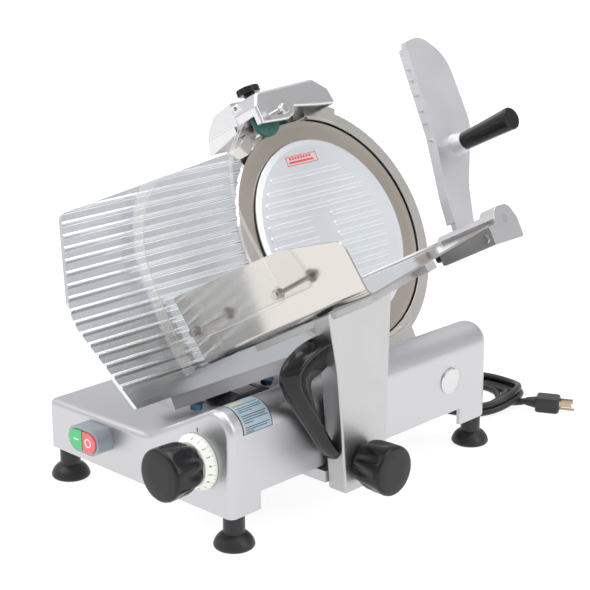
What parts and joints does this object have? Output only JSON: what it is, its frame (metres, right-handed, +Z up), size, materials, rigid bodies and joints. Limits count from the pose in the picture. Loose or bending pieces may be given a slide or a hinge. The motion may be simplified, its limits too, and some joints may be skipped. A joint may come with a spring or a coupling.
{
  "type": "deli meat slicer",
  "caption": "Gravity-feed slicer: tilted round knife in a guard ring, sliding tray on an arm, pusher on a rod, ribbed gauge plate set by a dial, cast base on feet.",
  "frame": {"origin": "on the floor under the middle of the machine, its free cord left out", "axes": "+Z up; the operator stands on the -Y side; the carriage and its handle are on the +X side"},
  "size_m": [0.5004, 0.7045, 0.5174],
  "materials": {
    "cast_aluminium": "satin as cast and tumbled",
    "plate_aluminium": "satin anodised",
    "arm_paint": "fine textured grey",
    "stainless_sheet": "bright polished",
    "knife_steel": "ground",
    "steel_bar": "ground bar",
    "chrome_fasteners": "bright chrome",
    "blue_zinc": "blue zinc plated",
    "black_plastic": "satin moulded",
    "handle_plastic": "glossy moulded",
    "dial_plastic": "off white moulded",
    "green_plastic": "moulded",
    "red_plastic": "moulded",
    "bezel_plastic": "smoky grey",
    "clear_plastic": "clear acrylic",
    "green_stone": "abrasive grit",
    "black_rubber": "matt moulded",
    "cord_rubber": "smooth jacket",
    "contact_brass": "plain",
    "motor_paint": "black enamel",
    "switch_plastic": "moulded"
  },
  "bodies": {
    "frame": {"base_housing": "cast_aluminium", "bottom_plate": "stainless_sheet", "feet": "black_rubber", "carriage_rail": "steel_bar", "guide_bar": "steel_bar", "gauge_rod": "steel_bar", "switch_bezel": "bezel_plastic", "switch_block": "switch_plastic", "blade_support": "cast_aluminium", "blade_bearings": "steel_bar", "motor": "motor_paint", "drive_belt": "black_rubber", "drive_cover": "cast_aluminium", "cover_rod": "steel_bar", "blade_cover": "plate_aluminium", "side_badge": "plate_aluminium", "cord_gland": "black_rubber", "cord_tube": "cord_rubber", "cord_coil": "cord_rubber", "plug_body": "cord_rubber", "plug_prongs": "contact_brass"},
    "start_button": {"start_button": "green_plastic"},
    "stop_button": {"stop_button": "red_plastic"},
    "index": {"index_dial": "dial_plastic", "index_knob": "black_plastic", "index_shaft": "steel_bar"},
    "gauge": {"gauge_plate": "plate_aluminium", "gauge_bar": "plate_aluminium", "gauge_bolts": "blue_zinc", "gauge_post": "plate_aluminium", "gauge_boot": "black_rubber"},
    "knife": {"blade": "knife_steel", "blade_screws": "steel_bar", "blade_shaft": "steel_bar", "blade_pulley": "steel_bar"},
    "motor_rotor": {"motor_pulley": "steel_bar"},
    "cover_knob": {"cover_knob": "black_plastic"},
    "sharpener": {"sharpener_body": "cast_aluminium", "sharpener_post": "steel_bar"},
    "sharpener_knob": {"sharpener_knob": "black_plastic"},
    "front_pin": {"pin_front": "steel_bar"},
    "front_stone": {"stone_front": "green_stone"},
    "back_pin": {"pin_back": "steel_bar"},
    "back_stone": {"stone_back": "green_stone"},
    "carriage": {"carriage_foot": "cast_aluminium", "carriage_arm": "arm_paint", "carriage_handle": "handle_plastic", "tray": "stainless_sheet", "guard": "clear_plastic", "guard_studs": "chrome_fasteners", "guard_nuts": "chrome_fasteners", "pusher_rod": "steel_bar", "rod_end_block": "cast_aluminium", "rod_screws": "steel_bar", "rod_bumper": "black_rubber"},
    "clamp_knob": {"clamp_knob": "black_plastic"},
    "pusher_slider": {"pusher_bush": "contact_brass"},
    "pusher": {"pusher_plate": "cast_aluminium", "pusher_grip": "black_plastic", "pusher_spikes": "steel_bar"}
  },
  "joints": [
    {"name": "start_press", "type": "slide", "parent": "frame", "child": "start_button", "axis": [0, 1, 0], "range_m": [0, 0.004], "stiffness_N_per_m": 400, "springref_m": -0.002},
    {"name": "stop_press", "type": "slide", "parent": "frame", "child": "stop_button", "axis": [0, 1, 0], "range_m": [0, 0.004], "stiffness_N_per_m": 400, "springref_m": -0.002},
    {"name": "index_turn", "type": "hinge", "parent": "frame", "child": "index", "pos_m": [0.09685, -0.25375, 0.098], "axis": [0, 1, 0], "range_deg": [0, 300]},
    {"name": "gauge_slide", "type": "slide", "parent": "frame", "child": "gauge", "axis": [-1, 0, 0], "range_m": [0, 0.016]},
    {"name": "knife_spin", "type": "hinge", "parent": "frame", "child": "knife", "pos_m": [-0.07525, 0.14125, 0.25166], "axis": [0.8746, 0, 0.4848], "continuous": true},
    {"name": "motor_spin", "type": "hinge", "parent": "frame", "child": "motor_rotor", "pos_m": [-0.14811, 0.19825, 0.23872], "axis": [0.8746, 0, 0.4848], "continuous": true},
    {"name": "cover_knob_turn", "type": "hinge", "parent": "frame", "child": "cover_knob", "pos_m": [-0.21956, 0.14125, 0.17167], "axis": [-0.8746, 0, -0.4848], "range_deg": [0, 360]},
    {"name": "sharpener_lift", "type": "slide", "parent": "frame", "child": "sharpener", "axis": [-0.4848, 0, 0.8746], "range_m": [0, 0.04]},
    {"name": "sharpener_knob_turn", "type": "hinge", "parent": "sharpener", "child": "sharpener_knob", "pos_m": [-0.19932, 0.12225, 0.42185], "axis": [-0.4848, 0, 0.8746], "range_deg": [0, 360]},
    {"name": "front_stone_press", "type": "slide", "parent": "sharpener", "child": "front_pin", "axis": [-0.8746, 0, -0.4848], "range_m": [0, 0.004], "stiffness_N_per_m": 500, "springref_m": -0.003},
    {"name": "front_stone_spin", "type": "hinge", "parent": "front_pin", "child": "front_stone", "pos_m": [-0.13756, 0.08925, 0.4012], "axis": [0.8746, 0, 0.4848], "continuous": true},
    {"name": "back_stone_press", "type": "slide", "parent": "sharpener", "child": "back_pin", "axis": [0.8746, 0, 0.4848], "range_m": [0, 0.004], "stiffness_N_per_m": 500, "springref_m": -0.003},
    {"name": "back_stone_spin", "type": "hinge", "parent": "back_pin", "child": "back_stone", "pos_m": [-0.15729, 0.14425, 0.39141], "axis": [0.8746, 0, 0.4848], "continuous": true},
    {"name": "carriage_slide", "type": "slide", "parent": "frame", "child": "carriage", "axis": [0, 1, 0], "range_m": [-0.085, 0.17]},
    {"name": "clamp_turn", "type": "hinge", "parent": "carriage", "child": "clamp_knob", "pos_m": [0.18285, -0.07375, 0.07], "axis": [1, 0, 0], "range_deg": [0, 540]},
    {"name": "pusher_slide", "type": "slide", "parent": "carriage", "child": "pusher_slider", "axis": [-0.8746, 0, -0.4848], "range_m": [0, 0.145]},
    {"name": "pusher_swing", "type": "hinge", "parent": "pusher_slider", "child": "pusher", "pos_m": [0.17621, 0.11325, 0.3013], "axis": [0.8746, 0, 0.4848], "range_deg": [0, 84]}
  ],
  "couplings": [
    {"joint": "index_turn", "follows": "gauge_slide", "rad_per_m": 327.25},
    {"joint": "motor_spin", "follows": "knife_spin", "ratio": 2.7143}
  ]
}
